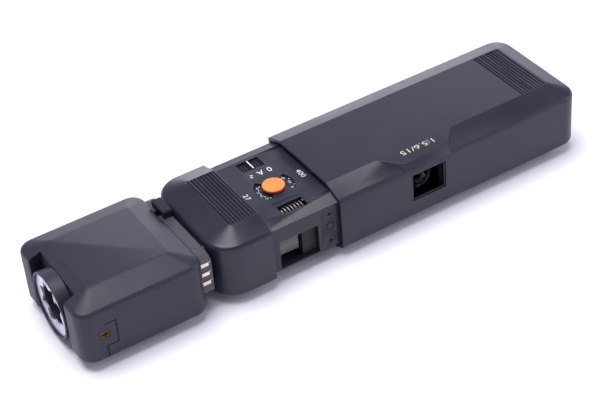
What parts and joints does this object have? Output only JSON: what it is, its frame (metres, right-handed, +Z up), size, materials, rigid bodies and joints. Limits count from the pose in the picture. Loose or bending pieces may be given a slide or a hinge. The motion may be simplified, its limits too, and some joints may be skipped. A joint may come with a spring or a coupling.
{
  "type": "subminiature camera",
  "caption": "Slim pull-apart subminiature film camera, drawn open, with a clip-on flash-cube adapter on its battery end.",
  "frame": {"origin": "middle of the footprint, on the surface the camera lies on", "axes": "+X along the camera from the flash adapter to the closed end of the sleeve, +Y from the lens side to the eyepiece side, +Z up through the control deck"},
  "size_m": [0.1296, 0.03, 0.0174],
  "materials": {
    "black_plastic": "fine moulded texture, satin",
    "dark_inner": "dull black",
    "crinkle_black": "coarse crinkle texture",
    "orange_plastic": "satin",
    "black_metal": "satin black anodised",
    "steel": "brushed",
    "brass": "dulled",
    "gold_contact": "polished",
    "socket_silver": "matt silver",
    "glass": "coated, polished",
    "board": "lacquered laminate",
    "chip": "moulded",
    "film": "smooth",
    "battery_case": "printed sleeve",
    "magnet_wire": "enamelled wire"
  },
  "bodies": {
    "camera": {"chassis": "black_plastic", "deck": "black_plastic", "deck_screws": "steel", "end_cap": "black_plastic", "stop_plate": "black_metal", "stop_plate_screws": "black_metal", "catch_spring": "steel", "control_plate": "dark_inner", "button_spring": "steel", "window_coil": "steel", "circuit_board": "board", "board_components": "chip", "finder_front_lens": "glass", "finder_baffle": "dark_inner", "finder_rear_lens": "glass", "lens_barrel": "black_metal", "front_lens": "glass", "rear_lens": "glass", "aperture_ring": "black_metal", "light_cell": "glass", "shutter_plate": "black_metal", "shutter_magnet": "magnet_wire", "light_box": "dark_inner", "film_cassette": "dark_inner", "film_strip": "film", "pressure_plate": "black_metal", "pressure_spring": "steel", "battery": "battery_case", "battery_contacts": "steel", "flash_contact_pins": "gold_contact"},
    "sleeve": {"sleeve": "black_plastic", "lens_window_frame": "dark_inner", "advance_rack": "steel"},
    "shutter_button": {"shutter_button": "orange_plastic"},
    "mode_selector": {"mode_selector": "dark_inner"},
    "film_speed_dial": {"film_speed_dial": "dark_inner"},
    "catch_pin": {"catch_pin": "black_metal"},
    "shutter_blade": {"shutter_blade": "black_metal"},
    "supply_roll": {"supply_roll": "film"},
    "take_up_spool": {"take_up_spool": "dark_inner", "advance_pinion": "brass"},
    "adapter": {"adapter_housing": "black_plastic", "adapter_base_cover": "black_plastic", "adapter_base_screws": "steel", "adapter_side_screw": "brass", "adapter_neck": "crinkle_black", "contact_strips": "gold_contact", "contact_leads": "brass"},
    "release_latch": {"release_latch": "black_plastic"},
    "cube_socket": {"cube_socket": "black_metal", "socket_plate": "socket_silver", "socket_contacts": "gold_contact", "socket_retainer": "steel"}
  },
  "joints": [
    {"name": "sleeve_slide", "type": "slide", "parent": "camera", "child": "sleeve", "axis": [1, 0, 0], "range_m": [-0.017, 0]},
    {"name": "button_press", "type": "slide", "parent": "camera", "child": "shutter_button", "axis": [0, 0, -1], "range_m": [0, 0.00055], "stiffness_N_per_m": 600, "springref_m": -0.0008, "deforming": ["button_spring"]},
    {"name": "selector_slide", "type": "slide", "parent": "camera", "child": "mode_selector", "axis": [1, 0, 0], "range_m": [-0.0022, 0.0022]},
    {"name": "dial_turn", "type": "hinge", "parent": "camera", "child": "film_speed_dial", "pos_m": [-0.01007, -0.00187, 0.01502], "axis": [0, 0, 1], "range_deg": [-60, 60]},
    {"name": "catch_press", "type": "slide", "parent": "camera", "child": "catch_pin", "axis": [0, 1, 0], "range_m": [0, 0.0005], "stiffness_N_per_m": 500, "springref_m": -0.0008},
    {"name": "blade_swing", "type": "hinge", "parent": "camera", "child": "shutter_blade", "pos_m": [0.02665, -0.0055, 0.0052], "axis": [0, 1, 0], "range_deg": [0, 35], "stiffness_Nm_per_rad": 0.00002, "springref_deg": -17.19},
    {"name": "take_up_turn", "type": "hinge", "parent": "camera", "child": "take_up_spool", "pos_m": [0.03355, 0.005, 0.008], "axis": [0, 0, 1], "range_deg": [-326, 2]},
    {"name": "supply_turn", "type": "hinge", "parent": "camera", "child": "supply_roll", "pos_m": [0.01055, 0.005, 0.008], "axis": [0, 0, 1], "range_deg": [-326, 2]},
    {"name": "adapter_slide", "type": "slide", "parent": "camera", "child": "adapter", "axis": [-1, 0, 0], "range_m": [0, 0.012]},
    {"name": "latch_slide", "type": "slide", "parent": "adapter", "child": "release_latch", "axis": [-1, 0, 0], "range_m": [0, 0.0006], "stiffness_N_per_m": 500, "springref_m": -0.001},
    {"name": "socket_turn", "type": "hinge", "parent": "adapter", "child": "cube_socket", "pos_m": [-0.06175, 0, 0.009], "axis": [1, 0, 0], "continuous": true}
  ],
  "couplings": [
    {"joint": "take_up_turn", "follows": "sleeve_slide", "rad_per_m": 333.33},
    {"joint": "supply_turn", "follows": "sleeve_slide", "rad_per_m": 333.33}
  ]
}
